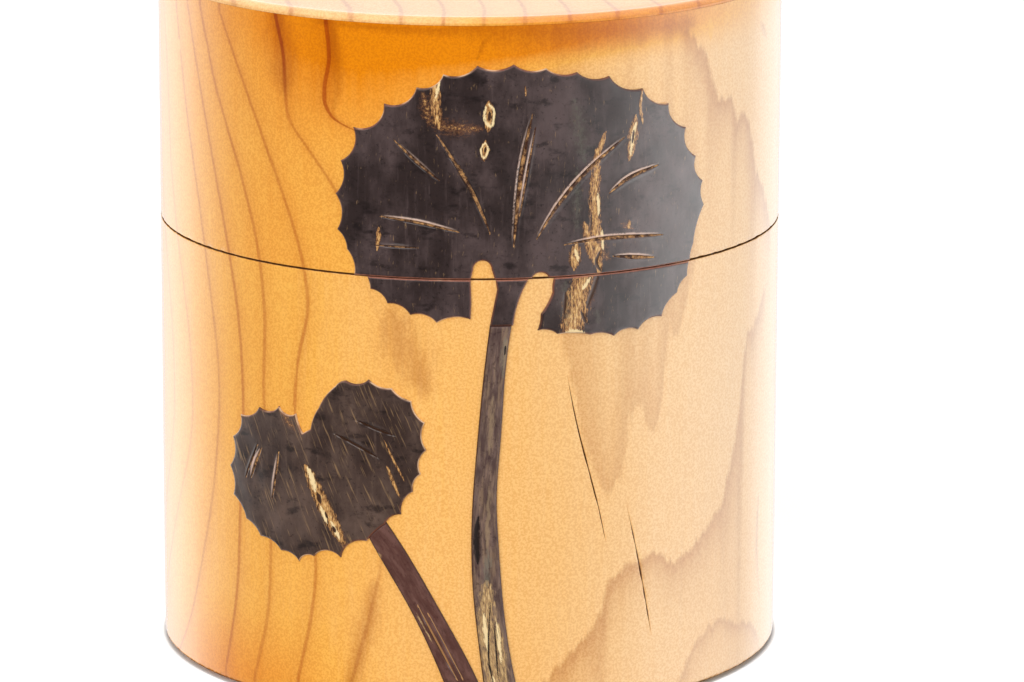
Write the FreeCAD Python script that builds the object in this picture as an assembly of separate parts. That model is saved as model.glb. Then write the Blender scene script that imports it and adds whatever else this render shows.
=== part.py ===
import FreeCAD, Part
import math
import os
from FreeCAD import Vector

# Round wooden tea caddy: a body with an inner sleeve, a pull-off lid, and a knobbed inner lid.
# Millimetres, +Z up. The origin is the centre of the underside; the leaf decoration faces -Y.

os.makedirs("parts", exist_ok=True)

# outside
outer_radius = 40.0
total_height = 89.0
seam_height = 56.3
seam_gap = 0.12
rim_round = 0.15            # broken edge at the two rims that meet at the seam
top_round = 0.85            # rounding of the lid's top edge
bottom_round = 0.55         # rounding of the body's lower edge
foot_reveal = 0.35          # the wall stops this far above the face the caddy stands on

# walls
sleeve_outer = 37.8         # outside of the inner sleeve, and inside of the body's wall
sleeve_inner = 35.8
sleeve_top = 70.0
slip = 0.12                 # radial clearance of the lid on the sleeve
lid_inner = sleeve_outer + slip
liner_inner = 36.2
bark = 0.35                 # thickness of the bark decoration and linings
facing = 0.4                # bark facings of the inner lid

# base
face_board = 1.4
core_board = 3.0
base_top = face_board + core_board

# top of the lid
top_board = 1.0
lid_core = 3.0
lid_shell_top = total_height - top_board
ceiling = lid_shell_top - lid_core

# inner lid
flange_radius = 37.3
flange_thickness = 1.8
plug_radius = 35.3
plug_depth = 5.0
facing_top = sleeve_top + flange_thickness + facing
liner_bottom = facing_top + 0.03

# knob and its dowel
knob_stem = 4.2
knob_radius = 7.0
knob_height = 6.0
knob_crown = 1.0            # height of the crown, a cap of a sphere
peg_radius = 2.5
peg_bottom = sleeve_top - plug_depth + 1.0
peg_top = facing_top + 2.8

# bark decoration
body_top = seam_height - seam_gap / 2
lid_bottom = seam_height + seam_gap / 2
bark_radius = outer_radius + bark
stalk_foot = 1.0            # height at which the two stalks end above the lower edge

# Leaf outlines: distance round the wall, height, and the bow of the edge that leaves the point,
# as a share of its length. A positive bow dips into the leaf, which makes the toothed margin.
leaf_over_seam = [
    (-14.3, lid_bottom, 0.12), (-15.3, 59.5, 0.12), (-16.6, 61.9, 0.15), (-16.8, 66.4, 0.16),
    (-16.1, 70.6, 0.20), (-14.4, 74.9, 0.26), (-10.4, 78.1, 0.22), (-6.3, 80.3, 0.20),
    (-3.0, 82.0, 0.16), (1.2, 83.1, 0.14), (5.7, 83.2, 0.14), (9.7, 82.6, 0.14),
    (13.7, 81.9, 0.15), (18.0, 81.1, 0.16), (22.8, 79.1, 0.17), (26.8, 76.8, 0.18),
    (29.7, 73.4, 0.17), (31.5, 69.5, 0.16), (32.8, 66.2, 0.11), (33.1, 63.1, 0.05),
    (31.2, 58.4, 0.05), (30.6, lid_bottom, 0), (10.2, lid_bottom, 0.32), (8.0, lid_bottom, 0),
    (3.4, lid_bottom, 0), (3.0, 57.6, 0.5), (0.7, 57.6, 0), (0.4, lid_bottom, 0),
]
lobe_left = [
    (0.4, body_top, 0), (0.5, 53.4, 0), (0.4, 51.3, 0.12), (-3.8, 50.8, 0.16),
    (-7.1, 51.7, 0.16), (-10.0, 53.0, 0.16), (-12.2, 54.7, 0.05), (-12.6, body_top, 0),
]
lobe_right = [
    (30.5, body_top, 0.05), (30.2, 54.4, 0.13), (28.5, 52.5, 0.12), (26.0, 49.8, 0.19),
    (22.4, 48.6, 0.17), (18.9, 48.2, 0.11), (15.7, 48.7, 0.04), (11.3, 49.1, 0.13),
    (8.8, 49.7, 0.06), (9.2, 51.7, 0.04), (10.7, 54.4, -0.06), (10.9, body_top, 0),
]
neck = [
    (7.6, body_top, 0.055), (5.7, 50.45, 0), (2.8, 50.45, 0), (3.7, 55.0, 0), (3.5, body_top, 0),
]
small_leaf_edge = [
    (-21.7, 35.2, 0), (-20.5, 35.9, -0.06), (-19.3, 38.8, -0.06), (-16.9, 41.9, -0.12),
    (-15.5, 42.7, 0.18), (-12.5, 43.1, 0.12), (-9.5, 42.2, 0.10), (-7.0, 40.7, 0.13),
    (-5.3, 38.0, 0.15), (-5.1, 34.5, 0.19), (-5.8, 31.4, 0.16), (-6.8, 29.1, 0.17),
    (-8.3, 26.1, 0.16), (-10.4, 24.7, 0.05), (-12.8, 22.3, 0.21), (-16.3, 19.8, 0.25),
    (-20.1, 19.5, 0.22), (-22.3, 18.5, 0.17), (-25.1, 19.5, 0.15), (-28.5, 20.8, 0.12),
    (-31.0, 22.6, 0.10), (-33.4, 25.3, 0.10), (-34.0, 29.0, 0.12), (-33.4, 32.9, 0.15),
    (-31.9, 36.0, 0.18), (-28.6, 37.5, 0.22), (-25.3, 38.2, 0.28), (-22.7, 37.6, 0.05),
]

# Stalks: left and right edges from the top down, as distance round the wall and height.
large_stalk_left = [(2.8, 50.4), (1.9, 42.7), (1.3, 36.0), (0.6, 26.0), (0.8, 15.8), (1.3, 10.9), (2.5, stalk_foot)]
large_stalk_right = [(5.5, 50.4), (4.7, 44.0), (4.2, 36.0), (3.7, 28.2), (3.9, 23.3), (4.8, 12.5), (7.0, stalk_foot)]
small_stalk_left = [(-13.3, 24.2), (-11.0, 20.3), (-7.5, 14.5), (-4.4, 8.2), (-1.6, stalk_foot)]
small_stalk_right = [(-10.6, 25.4), (-7.8, 21.4), (-3.2, 13.5), (0.0, 7.6), (2.9, stalk_foot)]


def save(shape, node):
    """Write one closed solid as the STEP file of its node."""
    solid = shape.removeSplitter()
    if solid.ShapeType == "Compound" and len(solid.Solids) == 1:
        solid = solid.Solids[0]
    if not solid.isValid() or len(solid.Solids) != 1:
        raise ValueError(node + " is not one valid solid")
    solid.exportStep("parts/" + node + ".step")
    print(node, "volume", round(solid.Volume, 1))


def disc(radius, low, high):
    return Part.makeCylinder(radius, high - low, Vector(0, 0, low))


def tube(outer, inner, low, high):
    return disc(outer, low, high).cut(disc(inner, low, high))


def round_edge(shape, radius, height, size):
    """Round the circular edge of the given radius and height."""
    edges = [e for e in shape.Edges if isinstance(e.Curve, Part.Circle)
             and abs(e.Curve.Radius - radius) < 1e-6 and abs(e.Curve.Center.z - height) < 1e-6]
    return shape.makeFillet(size, edges)


def on_front(distance, height):
    """The point of the flat XZ plane that faces the given place on the wall."""
    return Vector(bark_radius * math.sin(distance / bark_radius), 0, height)


def bowed_edge(start, end, bow):
    """A straight edge, or an arc that swells to the right of the way from start to end."""
    if bow == 0:
        return Part.LineSegment(start, end).toShape()
    along = end - start
    middle = (start + end) * 0.5 + Vector(along.z, 0, -along.x) * bow
    return Part.Arc(start, middle, end).toShape()


def toothed_outline(points):
    """A closed wire through clockwise points, each edge bowed as its first point says."""
    corners = [on_front(distance, height) for distance, height, bow in points]
    edges = []
    for index, (distance, height, bow) in enumerate(points):
        edges.append(bowed_edge(corners[index], corners[(index + 1) % len(points)], bow))
    return Part.Wire(edges)


def stalk_outline(left, right):
    """A closed wire with smooth sides and straight ends."""
    sides = []
    for points in (left, right):
        curve = Part.BSplineCurve()
        curve.interpolate([on_front(distance, height) for distance, height in points])
        sides.append(curve.toShape())
    ends = [Part.LineSegment(on_front(*left[i]), on_front(*right[i])).toShape() for i in (0, -1)]
    return Part.Wire(Part.sortEdges(sides + ends)[0])


def bark_piece(wire):
    """The bark lying on the wall inside an outline drawn on the flat front plane."""
    prism = Part.Face(wire).extrude(Vector(0, -2 * outer_radius, 0))
    return prism.common(tube(bark_radius, outer_radius, 0, total_height))


def make_body():
    shell = tube(outer_radius, sleeve_outer, foot_reveal, body_top)
    shell = round_edge(shell, outer_radius, body_top, rim_round)
    shell = round_edge(shell, outer_radius, foot_reveal, bottom_round)
    save(shell, "body_shell")
    save(disc(sleeve_outer, 0, face_board), "base_face_board")
    save(disc(sleeve_outer, face_board, base_top), "base_core_board")
    sleeve = tube(sleeve_outer, sleeve_inner, base_top, sleeve_top)
    save(round_edge(sleeve, sleeve_outer, sleeve_top, rim_round), "inner_sleeve")
    floor_top = base_top + facing
    save(disc(sleeve_inner, base_top, floor_top), "floor_lining")
    save(tube(sleeve_inner, sleeve_inner - bark, floor_top, sleeve_top), "sleeve_lining")


def make_lid():
    shell = tube(outer_radius, lid_inner, lid_bottom, lid_shell_top)
    save(round_edge(shell, outer_radius, lid_bottom, rim_round), "lid_shell")
    board = disc(outer_radius, lid_shell_top, total_height)
    save(round_edge(board, outer_radius, total_height, top_round), "lid_top_board")
    save(disc(lid_inner, ceiling, lid_shell_top), "lid_core_board")
    save(tube(lid_inner, liner_inner, liner_bottom, ceiling), "lid_liner_ring")
    save(disc(liner_inner, ceiling - facing, ceiling), "lid_ceiling_lining")


def make_knob():
    """A low mushroom knob, turned about Z, with a blind hole for its dowel."""
    foot = facing_top
    top = foot + knob_height
    stem = Vector(knob_stem, 0, foot)
    under = Vector(knob_radius - 0.2, 0, foot + 3.1)
    rim = Vector(knob_radius - 0.7, 0, top - knob_crown)
    crown = Vector(0, 0, top)
    sphere = (rim.x ** 2 + knob_crown ** 2) / (2 * knob_crown)
    half_way = math.asin(rim.x / sphere) / 2
    on_crown = Vector(sphere * math.sin(half_way), 0, top - sphere + sphere * math.cos(half_way))
    edges = [
        Part.LineSegment(Vector(0, 0, foot), stem),
        Part.Arc(stem, Vector(knob_stem + 0.6, 0, foot + 1.9), under),
        Part.Arc(under, Vector(knob_radius, 0, foot + 4.1), rim),
        Part.Arc(rim, on_crown, crown),
        Part.LineSegment(crown, Vector(0, 0, foot)),
    ]
    profile = Part.Face(Part.Wire([edge.toShape() for edge in edges]))
    return profile.revolve(Vector(0, 0, 0), Vector(0, 0, 1), 360)


def make_inner_lid():
    flange_top = sleeve_top + flange_thickness
    plug_bottom = sleeve_top - plug_depth
    peg = disc(peg_radius, peg_bottom, peg_top)
    board = round_edge(disc(flange_radius, sleeve_top, flange_top), flange_radius, sleeve_top, rim_round)
    plug = round_edge(disc(plug_radius, plug_bottom, sleeve_top), plug_radius, plug_bottom, rim_round)
    save(board.cut(peg), "inner_lid_board")
    save(plug.cut(peg), "inner_lid_plug")
    save(disc(flange_radius, flange_top, facing_top).cut(peg), "inner_lid_facing")
    save(disc(plug_radius - rim_round, plug_bottom - facing, plug_bottom), "inner_lid_underfacing")
    save(make_knob().cut(peg), "knob")
    save(peg, "knob_peg")


def make_decoration():
    save(bark_piece(toothed_outline(leaf_over_seam)), "large_leaf_upper")
    save(bark_piece(toothed_outline(lobe_left)), "large_leaf_lower_left")
    save(bark_piece(toothed_outline(lobe_right)), "large_leaf_lower_right")
    save(bark_piece(toothed_outline(neck)), "large_leaf_neck")
    save(bark_piece(toothed_outline(small_leaf_edge)), "small_leaf")
    large_stalk = bark_piece(stalk_outline(large_stalk_left, large_stalk_right))
    small_stalk = bark_piece(stalk_outline(small_stalk_left, small_stalk_right))
    leaf = bark_piece(toothed_outline(small_leaf_edge))
    small_stalk = small_stalk.cut(large_stalk).cut(leaf)
    save(large_stalk, "large_leaf_stalk")
    save(small_stalk, "small_leaf_stalk")


make_body()
make_lid()
make_inner_lid()
make_decoration()
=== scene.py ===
import math
import bpy
import numpy as np
from mathutils import Matrix, Vector
from mathutils.geometry import delaunay_2d_cdt


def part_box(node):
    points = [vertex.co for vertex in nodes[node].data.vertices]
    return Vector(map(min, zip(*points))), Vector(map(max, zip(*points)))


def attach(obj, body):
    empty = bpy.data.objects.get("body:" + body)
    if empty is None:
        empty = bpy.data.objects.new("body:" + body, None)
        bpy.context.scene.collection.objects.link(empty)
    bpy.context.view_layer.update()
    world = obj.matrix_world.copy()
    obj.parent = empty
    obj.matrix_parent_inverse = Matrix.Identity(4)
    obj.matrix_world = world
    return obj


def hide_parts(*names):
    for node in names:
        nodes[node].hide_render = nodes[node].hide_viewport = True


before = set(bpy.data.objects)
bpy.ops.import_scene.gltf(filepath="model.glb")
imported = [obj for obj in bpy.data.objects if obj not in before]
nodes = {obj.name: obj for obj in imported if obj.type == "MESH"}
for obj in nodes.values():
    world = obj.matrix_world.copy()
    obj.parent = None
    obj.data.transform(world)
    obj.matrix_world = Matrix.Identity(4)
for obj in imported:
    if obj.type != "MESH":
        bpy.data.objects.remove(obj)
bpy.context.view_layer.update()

# Tea caddy: lacquered wood with a bark leaf and stalks laid on the wall.
# Meshes are in metres. Places on the wall are given in mm, as (way round from the front, height).

mm = 0.001
wallLow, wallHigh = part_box("body_shell")
lidLow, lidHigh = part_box("lid_shell")
boardLow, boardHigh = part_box("lid_top_board")
outerRadius = wallHigh.x
seamLow, seamHigh = wallHigh.z, lidLow.z
barkRadius = -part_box("large_leaf_upper")[0].y
seedOf = {"wall": 11, "leaf": 23, "smallLeaf": 31, "stalk": 47, "seam": 59}
farOff = 30.0        # stands for no dark edge near, in mm
noPatch = -9.0       # stands for outside every patch


def smoothStep(x, low, high):
    # 0 below low, 1 above high, and 3t^2 - 2t^3 between
    t = np.clip((x - low) / (high - low), 0, 1)
    return t * t * (3 - 2 * t)


def smoothThrough(points, at):
    # cubic through (x, y) points, whose slope at each point is the slope between its neighbours
    x, y = np.array(sorted(points), float).T
    slope = np.gradient(y, x)
    i = np.clip(np.searchsorted(x, at) - 1, 0, len(x) - 2)
    step = x[i + 1] - x[i]
    t = np.clip((at - x[i]) / step, 0, 1)
    return ((1 + 2 * t) * (1 - t) ** 2 * y[i] + t * (1 - t) ** 2 * step * slope[i]
            + t * t * (3 - 2 * t) * y[i + 1] - t * t * (1 - t) * step * slope[i + 1])


def waves(a, b, seed, length, stretch=1.0, count=9):
    # mean of sine waves in random directions, about `length` long, drawn out `stretch` times along b
    draw = np.random.default_rng(seed)
    total = np.zeros(np.broadcast(a, b).shape)
    for turn, phase, pace in zip(draw.uniform(0, math.tau, count), draw.uniform(0, math.tau, count),
                                 draw.uniform(0.7, 1.6, count)):
        total += np.sin(math.tau * pace / length * (a * math.cos(turn) + b / stretch * math.sin(turn)) + phase)
    return total / math.sqrt(count)


def alongPath(a, b, path):
    # signed distance to the right of a smooth path through a few points, and the share of its length
    dense = densePath(path, 24)
    start, end = dense[:-1], dense[1:]
    run = end - start
    length = np.hypot(run[:, 0], run[:, 1])
    sofar = np.concatenate([[0], np.cumsum(length)])
    da, db = a[:, None] - start[:, 0], b[:, None] - start[:, 1]
    t = np.clip((da * run[:, 0] + db * run[:, 1]) / length ** 2, 0, 1)
    gap = np.hypot(da - t * run[:, 0], db - t * run[:, 1])
    best = gap.argmin(1)
    row = np.arange(len(a))
    side = np.sign(da[row, best] * run[best, 1] - db[row, best] * run[best, 0])
    share = (sofar[best] + t[row, best] * length[best]) / sofar[-1]
    return gap[row, best] * np.where(side == 0, 1, side), share


def densePath(path, count):
    # points at even steps of the index along a smooth path
    places = np.linspace(0, len(path) - 1, count + 1)
    return np.stack([smoothThrough([(i, p[axis]) for i, p in enumerate(path)], places) for axis in (0, 1)], 1)


def makePiece(name, points, faces, body, replaced, material, values=None, uv=None, sharp=32):
    mesh = bpy.data.meshes.new(name)
    mesh.from_pydata(points.tolist(), [], faces)
    for key, value in (values or {}).items():
        layer = mesh.attributes.new(key, "FLOAT", "POINT")
        layer.data.foreach_set("value", np.ascontiguousarray(value, np.float32))
    if uv is not None:
        corner = np.zeros(len(mesh.loops), np.int32)
        mesh.loops.foreach_get("vertex_index", corner)
        layer = mesh.uv_layers.new(name="place")
        layer.data.foreach_set("uv", uv(corner).astype(np.float32).ravel())
    mesh.update()
    mesh.shade_smooth()
    mesh.set_sharp_from_angle(angle=math.radians(sharp))
    piece = bpy.data.objects.new(name, mesh)
    bpy.context.scene.collection.objects.link(piece)
    mesh.materials.append(material)
    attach(piece, body)
    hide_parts(replaced)
    print("piece", name, len(mesh.polygons), "faces")
    return piece


def filletChain(corners, closed, steps=6):
    # corners are (radius, height, rounding); each rounding is an arc tangent to both of its runs
    out = []
    count = len(corners)
    for i, (r, z, size) in enumerate(corners):
        here = np.array([r, z])
        if size == 0 or (not closed and i in (0, count - 1)):
            out.append(here[None])
            continue
        before = np.array(corners[i - 1][:2]) - here
        after = np.array(corners[(i + 1) % count][:2]) - here
        before, after = before / np.linalg.norm(before), after / np.linalg.norm(after)
        half = math.acos(np.clip(before @ after, -1, 1)) / 2
        middle = (before + after) / np.linalg.norm(before + after)
        centre = here + middle * size / math.sin(half)
        first, last = here + before * size / math.tan(half), here + after * size / math.tan(half)
        t = np.linspace(0, 1, steps + 1)[:, None]
        arc = first + (last - first) * t - centre
        out.append(centre + arc / np.linalg.norm(arc, axis=1)[:, None] * size)
    return np.concatenate(out)


def divideChain(chain, pitch, closed):
    # every run is cut into equal steps no longer than pitch(start, end)
    ends = np.roll(chain, -1, 0) if closed else chain[1:]
    out = []
    for start, end in zip(chain, ends):
        count = max(1, math.ceil(np.linalg.norm(end - start) / pitch(start, end) - 1e-9))
        out.append(start + (end - start) * (np.arange(count) / count)[:, None])
    if not closed:
        out.append(chain[-1:])
    return np.concatenate(out)


def ringGrid(rows, columns, closed):
    # quads of a profile (rows) carried round the axis (columns); the outside faces outwards
    index = np.arange(rows * columns).reshape(rows, columns)
    here = index if closed else index[:-1]
    above = np.roll(index, -1, 0) if closed else index[1:]
    return np.stack([here, np.roll(here, -1, 1), np.roll(above, -1, 1), above], -1).reshape(-1, 4).tolist()


def wallPoints(angle, radius, height):
    # angle runs from the front (-Y) towards +X
    return np.stack([radius * np.sin(angle), -radius * np.cos(angle), height], -1)


def closeEnds(points, faces, rows, columns, low, high):
    # a fan of triangles from the axis to the first row and another to the last
    ring = np.arange(columns)
    last = ring + (rows - 1) * columns
    faces = faces + np.stack([np.full(columns, len(points)), np.roll(ring, -1), ring], 1).tolist()
    faces += np.stack([last, np.roll(last, -1), np.full(columns, len(points) + 1)], 1).tolist()
    return np.concatenate([points, [[0, 0, low], [0, 0, high]]]), faces


def turnedPiece(name, body, material, corners, closed, columns=288, pitch=2.5 * mm):
    # a profile of (radius, height, rounding) corners turned about Z; an open one starts and ends on the axis
    chain = divideChain(filletChain(corners, closed), lambda a, b: pitch, closed)
    angle = np.linspace(-math.pi, math.pi, columns, endpoint=False)
    rows = chain if closed else chain[1:-1]
    tall = np.broadcast_to(rows[:, 1][:, None], (len(rows), columns))
    points = wallPoints(angle[None, :], rows[:, 0][:, None], tall).reshape(-1, 3)
    faces = ringGrid(len(rows), columns, closed)
    if not closed:
        points, faces = closeEnds(points, faces, len(rows), columns, chain[0, 1], chain[-1, 1])
    return makePiece(name + "_turned", points, faces, body, name, material)


class Wire:
    # one output socket; the operators add Math nodes
    def __init__(self, tree, socket):
        self.tree, self.socket = tree, socket

    def math(self, operation, other=None, flip=False, clamp=False):
        values = [self] if other is None else ([other, self] if flip else [self, other])
        settings = {"operation": operation, "use_clamp": clamp}
        return self.tree.add("ShaderNodeMath", settings, dict(enumerate(values)))

    def __add__(self, other):
        return self.math("ADD", other)

    def __sub__(self, other):
        return self.math("SUBTRACT", other)

    def __rsub__(self, other):
        return self.math("SUBTRACT", other, flip=True)

    def __mul__(self, other):
        return self.math("MULTIPLY", other)

    def __truediv__(self, other):
        return self.math("DIVIDE", other)

    def __gt__(self, other):
        return self.math("GREATER_THAN", other)

    def __lt__(self, other):
        return self.math("LESS_THAN", other)

    __radd__, __rmul__ = __add__, __mul__

    def size(self):
        return self.math("ABSOLUTE")

    def top(self, other):
        return self.math("MAXIMUM", other)

    def held(self):
        return self.math("ADD", 0.0, clamp=True)

    def decay(self):
        return (self * -1.0).math("EXPONENT")

    def soft(self, low, high):
        # smooth step from 0 at low to 1 at high
        return self.tree.add("ShaderNodeMapRange", {"interpolation_type": "SMOOTHSTEP"},
                             {"Value": self, "From Min": low, "From Max": high})


class Finish:
    # a material under construction: nodes are added by type, settings, and socket values or links
    def __init__(self, name, world=None):
        self.material = world or bpy.data.materials.new(name)
        self.material.use_nodes = True
        self.nodes, self.links = self.material.node_tree.nodes, self.material.node_tree.links
        self.nodes.clear()

    def add(self, kind, settings=None, values=None, out=0):
        node = self.nodes.new(kind)
        for key, value in (settings or {}).items():
            setattr(node, key, value)
        for key, value in (values or {}).items():
            if isinstance(value, Wire):
                self.links.new(value.socket, node.inputs[key])
            else:
                node.inputs[key].default_value = value
        return Wire(self, node.outputs[out]) if len(node.outputs) else node

    def value(self, name):
        return self.add("ShaderNodeAttribute", {"attribute_name": name}, out="Fac")

    def place(self):
        return self.add("ShaderNodeUVMap", {"uv_map": "place"})

    def inside(self):
        return self.add("ShaderNodeTexCoord", out="Object")

    def stretch(self, vector, factors):
        return self.add("ShaderNodeVectorMath", {"operation": "MULTIPLY"}, {0: vector, 1: factors})

    def shift(self, vector, offset):
        return self.add("ShaderNodeVectorMath", {"operation": "ADD"}, {0: vector, 1: offset})

    def part(self, vector, axis):
        return self.add("ShaderNodeSeparateXYZ", None, {0: vector}, out=axis)

    def noise(self, vector, scale, detail=3.0, rough=0.55, distortion=0.0):
        return self.add("ShaderNodeTexNoise", None, {"Vector": vector, "Scale": scale, "Detail": detail,
                        "Roughness": rough, "Distortion": distortion}, out="Fac")

    def grain(self, vector, factors, detail, rough, distortion=0.0):
        # noise drawn out by different amounts along the three axes
        return self.noise(self.stretch(vector, factors), 1.0, detail, rough, distortion)

    def mix(self, factor, first, second, blend="MIX"):
        return self.add("ShaderNodeMix", {"data_type": "RGBA", "blend_type": blend},
                        {0: factor, 6: first, 7: second}, out=2)

    def over(self, base, factor, colour, blend="MIX"):
        # one plain colour laid over what is there
        return self.mix(factor, base, rgb(colour), blend)

    def ramp(self, factor, stops):
        wire = self.add("ShaderNodeValToRGB", None, {0: factor})
        band = wire.socket.node.color_ramp
        while len(band.elements) < len(stops):
            band.elements.new(1.0)
        for element, (where, colour) in zip(band.elements, stops):
            element.position = where
            element.color = (*colour, 1)
        return wire

    def bump(self, height, distance, strength=1.0):
        return self.add("ShaderNodeBump", None, {"Height": height, "Distance": distance,
                                                 "Strength": strength})

    def close(self, values):
        surface = self.add("ShaderNodeBsdfPrincipled", None, values)
        self.add("ShaderNodeOutputMaterial", None, {"Surface": surface})
        return self.material


def rgb(colour):
    return (*colour, 1.0)


wood = {
    "pale": (0.93, 0.64, 0.33), "straw": (0.92, 0.52, 0.17), "honey": (0.91, 0.46, 0.085),
    "amber": (0.79, 0.245, 0.002), "line": (0.56, 0.33, 0.30), "flame": (0.66, 0.50, 0.385),
    "crack": (0.10, 0.035, 0.015), "seam": (0.16, 0.06, 0.02),
    "coatRoughness": 0.09, "peel": 0.006 * mm,
}

# growth lines left of the front, from the side forwards: (height, way round), and how strongly they show
growthLines = [
    ([(89, -54.0), (77, -51.2), (65, -49.8), (56, -47.3), (43, -43.5), (30, -43.6), (20, -48.3), (5, -57)],
     [(0, 0.5), (60, 0.6), (89, 0.4)]),
    ([(86, -47), (75, -44.3), (62, -40.6), (50, -37.8), (40, -36.2), (28, -37.1), (15, -40.6), (5, -45),
      (0, -49)],
     [(0, 0.7), (89, 0.8)]),
    ([(87, -43.3), (80, -41), (70, -37.8), (60, -34.8), (50, -32.4), (40, -31.4), (24, -32), (10, -33.2),
      (2, -35.2)],
     [(0, 0.9), (50, 1.0), (89, 0.7)]),
    ([(87, -39.8), (77, -36.2), (67, -31.5), (56, -28.2), (50, -27.5), (40, -27.7), (19, -26.7), (10, -27.4),
      (2, -29.6)],
     [(0, 0.7), (60, 0.9), (89, 0.9)]),
    ([(87, -35.5), (78, -30.5), (68, -25.6), (57, -21.5), (52, -20.8), (43, -22.5), (30, -22.4), (18, -19.8),
      (10, -20.8),
      (3, -22.5)],
     [(0, 0.9), (50, 1.0), (89, 0.8)]),
    ([(88, -25.4), (83, -24.2), (78, -23.9), (75, -23.4), (71, -20.2), (67, -17), (56, -13), (44, -8.5),
      (25, -10),
      (17, -11.3), (10, -13), (3, -15)],
     [(0, 0.55), (18, 0.5), (26, 0.0), (60, 0.2), (66, 0.9), (77, 0.9), (83, 1.5), (89, 1.9)]),
    ([(88, -18), (83, -17.6), (79, -18.3), (77.2, -18.1), (75.5, -16.6), (74, -13), (60, -4), (30, 0),
      (0, -5)],
     [(0, 0), (68, 0), (74, 1.3), (78, 1.9), (89, 2.1)]),
]

# dark growth edges right of the front: edge is (way round, height), fades is the side that the tone fades
# towards (-1 below, 1 above), reach how far that goes in mm
flames = {
    "flameLid": {"fades": -1, "reach": 2.8, "strength": 1.15, "edge": [
        (28.5, 87), (31.5, 84.2), (33.2, 82.2), (35, 78), (37, 76), (38.5, 76), (40, 73), (42, 73.3),
        (44, 70), (45, 67), (48, 63), (52, 57)]},
    "flameHeart": {"fades": 1, "reach": 8.0, "strength": 0.50, "edge": [
        (10.5, 56), (11.5, 49), (13, 42), (15, 34), (17.5, 28), (20.3, 31), (21.4, 36.6), (26, 37.2),
        (27.5, 46.5), (29, 47), (30, 50), (32, 56)]},
    "flameBand": {"fades": -1, "reach": 2.7, "strength": 1.05, "edge": [
        (8, 3), (10, 5), (13, 8), (17, 13), (18, 16), (20, 17.8), (23, 19.3), (26, 19.2), (29, 17.8),
        (31, 18.8), (35, 21.8), (37.5, 24.3), (39.5, 29), (41.5, 35), (42.5, 42), (45, 45), (50, 50)]},
    "flameFoot": {"fades": -1, "reach": 1.6, "strength": 1.0, "edge": [
        (28, -1), (30, 3.2), (32, 5.7), (35, 7.8), (37, 8.4), (39, 8.0), (41, 7.0), (45, 6), (49, 3)]},
}

cracks = [
    {"column": 15.0, "line": [(44, 12.5), (37, 14), (31.5, 15.5), (26, 17), (21.5, 18)], "width": 0.17},
    {"column": 22.5, "line": [(26, 20.9), (19.5, 22.5), (15, 23.5), (8.5, 24.8)], "width": 0.21},
]


def woodFields(around, height):
    # growth number, mm between growth lines and line strength, from the lines listed in front
    # and from nested arches round the back: number = distance from the back line, bent down with height
    lines = np.stack([smoothThrough(path, height) for path, shows in growthLines])
    shows = np.stack([np.interp(height, *np.array(sorted(level), float).T) for path, level in growthLines])
    gaps = np.diff(lines, axis=0)
    outer = 6.5
    number = np.minimum((around - lines[0]) / outer, 0) + np.maximum((around - lines[-1]) / outer, 0)
    spacing = np.full(around.shape, outer)
    strength = np.where(around < lines[0], shows[0], shows[-1])
    for i in range(len(gaps)):
        share = np.clip((around - lines[i]) / gaps[i], 0, 1)
        number = number + share
        between = (around >= lines[i]) & (around < lines[i + 1])
        spacing = np.where(between, gaps[i], spacing)
        strength = np.where(between, shows[i] + (shows[i + 1] - shows[i]) * share, strength)
    halfWay = math.pi * outerRadius / mm
    fromBack = halfWay - np.abs(around)
    arches = (-12.5 + 8.9 * (np.sqrt(fromBack ** 2 + 9) / 55) ** 1.15
              - 0.055 * (height - 30) * np.exp(-(fromBack / 34) ** 2)
              + 0.16 * waves(around, height, seedOf["wall"], 38, 3))
    behind = np.where(around > 0, 1.0, smoothStep(-around, 60, 84))
    number = number * (1 - behind) + arches * behind
    spacing = spacing * (1 - behind) + 6.2 * behind
    strength = np.where(around > 0, smoothStep(around, 50, 68) * 0.8, strength * (1 - behind) + 0.85 * behind)
    beyond = (around > lines[-1]) & (around < 40)
    strength = np.where(beyond, strength * smoothStep(lines[-1] + 1.6 - around, 0, 1), strength)
    return number, spacing, strength


def flameFields(around, height):
    # signed distance in mm into the fading side of each dark edge
    out = {}
    for name, flame in flames.items():
        edge = flame["edge"]
        tilt = (smoothThrough(edge, around + 0.3) - smoothThrough(edge, around - 0.3)) / 0.6
        into = flame["fades"] * (height - smoothThrough(edge, around)) / np.sqrt(1 + tilt ** 2)
        out[name] = np.clip(into, -farOff, farOff)
    return out


def honeyField(around, height):
    # 0 is pale and 1 amber: deepest where the lacquer has aged under the lid's top and at the lower left
    near = smoothStep(-np.abs(around), -75, -50)
    tone = 0.40 + (0.14 * smoothStep(-around, 0, 26) - 0.27 * smoothStep(around, -4, 24)) * near
    onLid = height > (seamLow + seamHigh) / 2 / mm
    pool = smoothStep(height, 68, 88) * np.exp(-((around + 9) / 20) ** 2)
    rim = 0.36 * smoothStep(height, 81, 87) * np.exp(-((around - 10) / 32) ** 2)
    rim += 0.30 * smoothStep(height, 82.5, 86.5) * np.exp(-((around - 13) / 17) ** 2)
    rim += 0.24 * smoothStep(height, 82, 87.5) * smoothStep(around, 12, 28)
    lidTone = 0.10 * np.exp(-((around + 18) / 26) ** 2) + 0.46 * pool + rim
    foot = 0.26 * smoothStep(-height, -13, -1) * np.exp(-((around + 35) / 16) ** 2)
    drift = 0.02 * waves(around, height, seedOf["wall"] + 1, 30, 2)
    return np.clip(tone + onLid * lidTone + foot + drift, 0, 1)


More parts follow.
